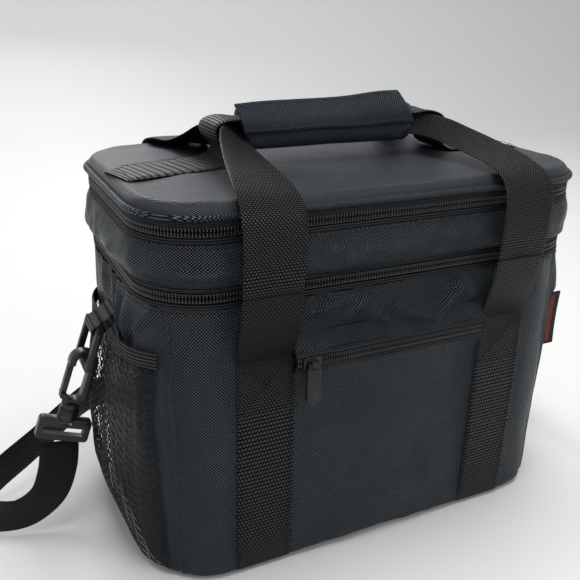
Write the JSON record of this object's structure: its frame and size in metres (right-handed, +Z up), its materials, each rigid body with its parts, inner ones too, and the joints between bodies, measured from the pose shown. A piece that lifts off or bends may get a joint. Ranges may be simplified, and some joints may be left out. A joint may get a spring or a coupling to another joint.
{
  "type": "insulated food carrier",
  "caption": "Soft insulated carrier with a shallow upper and a deep lower zipped compartment, webbing handles with a padded grip, mesh side pockets and a clip-on shoulder strap.",
  "frame": {"origin": "centre of the flat underside", "axes": "+Z up, front with the zipped pocket towards -Y, +X to the right seen from the front"},
  "size_m": [0.4651, 0.2331, 0.288],
  "materials": {
    "navy_polyester": "diamond-woven coated polyester",
    "black_webbing": "woven polypropylene webbing",
    "zip_tape": "knitted zip tape",
    "zip_nylon": "nylon coil",
    "black_plastic": "semi-gloss moulded plastic",
    "slider_metal": "matt black painted",
    "black_mesh": "open knitted mesh",
    "elastic": "ribbed elastic binding",
    "silver_lining": "wipe-clean coated lining",
    "foam": "closed-cell foam",
    "board": "stiffener sheet",
    "tag": "woven tag"
  },
  "bodies": {
    "lower_body": {"base_panel": "navy_polyester", "base_board": "board", "lower_shell": "navy_polyester", "lower_foam": "foam", "lower_liner": "silver_lining", "main_zip_lower_tape": "zip_tape", "main_zip_lower_teeth": "zip_nylon", "front_webbing_left": "black_webbing", "front_webbing_right": "black_webbing", "back_webbing_left": "black_webbing", "back_webbing_right": "black_webbing", "pocket_panel": "navy_polyester", "pocket_top_strip": "navy_polyester", "pocket_zip_tapes": "zip_tape", "pocket_zip_teeth": "zip_nylon", "mesh_pocket_left": "black_mesh", "mesh_pocket_right": "black_mesh", "pocket_elastic_left": "elastic", "pocket_elastic_right": "elastic", "side_tab_left": "black_webbing", "side_tab_right": "black_webbing", "side_tag": "tag", "shoulder_strap": "black_webbing"},
    "upper_compartment": {"upper_shell": "navy_polyester", "upper_foam": "foam", "upper_liner": "silver_lining", "compartment_floor": "silver_lining", "main_zip_upper_tape": "zip_tape", "main_zip_upper_teeth": "zip_nylon", "lid_zip_lower_tape": "zip_tape", "lid_zip_lower_teeth": "zip_nylon"},
    "lid": {"lid_cover": "navy_polyester", "lid_foam": "foam", "lid_liner": "silver_lining", "lid_piping": "navy_polyester", "lid_zip_upper_tape": "zip_tape", "lid_zip_upper_teeth": "zip_nylon", "lid_handle": "black_webbing"},
    "front_handle_lower": {"front_handle_legs": "black_webbing"},
    "front_handle_upper": {"front_handle_top": "black_webbing", "front_grip": "navy_polyester"},
    "back_handle_lower": {"back_handle_legs": "black_webbing"},
    "back_handle_upper": {"back_handle_top": "black_webbing", "back_grip": "navy_polyester"},
    "pocket_slider": {"pocket_slider": "slider_metal"},
    "pocket_pull": {"pocket_pull": "slider_metal"},
    "main_slider": {"main_slider": "slider_metal"},
    "main_pull": {"main_pull": "slider_metal"},
    "lid_slider": {"lid_slider": "slider_metal"},
    "lid_pull": {"lid_pull": "slider_metal"},
    "left_ring": {"ring_left": "black_plastic"},
    "left_hook": {"hook_left": "black_plastic"},
    "left_gate": {"hook_gate_left": "black_plastic"},
    "left_strap_base": {"strap_base_left": "black_plastic"},
    "right_ring": {"ring_right": "black_plastic"},
    "right_hook": {"hook_right": "black_plastic"},
    "right_gate": {"hook_gate_right": "black_plastic"},
    "right_strap_base": {"strap_base_right": "black_plastic"}
  },
  "joints": [
    {"name": "upper_open", "type": "hinge", "parent": "lower_body", "child": "upper_compartment", "pos_m": [0, 0.0908, 0.195], "axis": [-1, 0, 0], "range_deg": [0, 95], "deforming": ["front_handle_legs", "front_handle_top", "front_grip", "back_handle_legs", "back_handle_top", "back_grip"]},
    {"name": "lid_open", "type": "hinge", "parent": "upper_compartment", "child": "lid", "pos_m": [0, 0.0908, 0.233], "axis": [-1, 0, 0], "range_deg": [0, 100], "deforming": ["front_handle_legs", "front_handle_top", "front_grip", "back_handle_legs", "back_handle_top", "back_grip"]},
    {"name": "front_handle_swing", "type": "hinge", "parent": "lower_body", "child": "front_handle_lower", "pos_m": [0, -0.0908, 0.1553], "axis": [1, 0, 0], "range_deg": [0, 82]},
    {"name": "front_grip_fold", "type": "hinge", "parent": "front_handle_lower", "child": "front_handle_upper", "pos_m": [0, -0.1035, 0.2347], "axis": [1, 0, 0], "range_deg": [0, 182]},
    {"name": "back_handle_swing", "type": "hinge", "parent": "lower_body", "child": "back_handle_lower", "pos_m": [0, 0.0908, 0.1553], "axis": [-1, 0, 0], "range_deg": [0, 102]},
    {"name": "back_grip_fold", "type": "hinge", "parent": "back_handle_lower", "child": "back_handle_upper", "pos_m": [0, 0.1035, 0.2347], "axis": [-1, 0, 0], "range_deg": [0, 152]},
    {"name": "pocket_slide", "type": "slide", "parent": "lower_body", "child": "pocket_slider", "axis": [1, 0, 0], "range_m": [0, 0.118]},
    {"name": "pocket_pull_swing", "type": "hinge", "parent": "pocket_slider", "child": "pocket_pull", "pos_m": [-0.0598, -0.1004, 0.1477], "axis": [-1, 0, 0], "range_deg": [0, 80]},
    {"name": "main_slide", "type": "slide", "parent": "lower_body", "child": "main_slider", "axis": [0, -1, 0], "range_m": [0, 0.075]},
    {"name": "main_pull_swing", "type": "hinge", "parent": "main_slider", "child": "main_pull", "pos_m": [0.1574, 0.036, 0.195], "axis": [0, -1, 0], "range_deg": [0, 80]},
    {"name": "lid_slide", "type": "slide", "parent": "upper_compartment", "child": "lid_slider", "axis": [0, -1, 0], "range_m": [0, 0.075]},
    {"name": "lid_pull_swing", "type": "hinge", "parent": "lid_slider", "child": "lid_pull", "pos_m": [0.1574, 0.036, 0.233], "axis": [0, -1, 0], "range_deg": [0, 80]},
    {"name": "left_ring_swing", "type": "hinge", "parent": "lower_body", "child": "left_ring", "pos_m": [-0.168, 0, 0.15], "axis": [0, 1, 0], "range_deg": [0, 12], "deforming": ["shoulder_strap"]},
    {"name": "left_hook_swing", "type": "hinge", "parent": "left_ring", "child": "left_hook", "pos_m": [-0.17621, 0, 0.12745], "axis": [0, 1, 0], "range_deg": [-4, 4], "deforming": ["shoulder_strap"]},
    {"name": "left_gate_open", "type": "hinge", "parent": "left_hook", "child": "left_gate", "pos_m": [-0.1922, 0, 0.10485], "axis": [0, -1, 0], "range_deg": [0, 12], "stiffness_Nm_per_rad": 0.02, "springref_deg": -5.73},
    {"name": "left_swivel", "type": "hinge", "parent": "left_hook", "child": "left_strap_base", "pos_m": [-0.18852, 0, 0.09362], "axis": [-0.342, 0, -0.9397], "range_deg": [-20, 20], "deforming": ["shoulder_strap"]},
    {"name": "right_ring_swing", "type": "hinge", "parent": "lower_body", "child": "right_ring", "pos_m": [0.168, 0, 0.15], "axis": [0, -1, 0], "range_deg": [0, 12], "deforming": ["shoulder_strap"]},
    {"name": "right_hook_swing", "type": "hinge", "parent": "right_ring", "child": "right_hook", "pos_m": [0.17621, 0, 0.12745], "axis": [0, -1, 0], "range_deg": [-4, 4], "deforming": ["shoulder_strap"]},
    {"name": "right_gate_open", "type": "hinge", "parent": "right_hook", "child": "right_gate", "pos_m": [0.1922, 0, 0.10485], "axis": [0, 1, 0], "range_deg": [0, 12], "stiffness_Nm_per_rad": 0.02, "springref_deg": -5.73},
    {"name": "right_swivel", "type": "hinge", "parent": "right_hook", "child": "right_strap_base", "pos_m": [0.18852, 0, 0.09362], "axis": [0.342, 0, -0.9397], "range_deg": [-20, 20], "deforming": ["shoulder_strap"]}
  ],
  "couplings": [
    {"joint": "front_handle_swing", "follows": "upper_open", "ratio": 0.84211},
    {"joint": "front_grip_fold", "follows": "lid_open", "ratio": 1.8},
    {"joint": "back_handle_swing", "follows": "upper_open", "ratio": 1.0526},
    {"joint": "back_grip_fold", "follows": "lid_open", "ratio": 1.5}
  ]
}
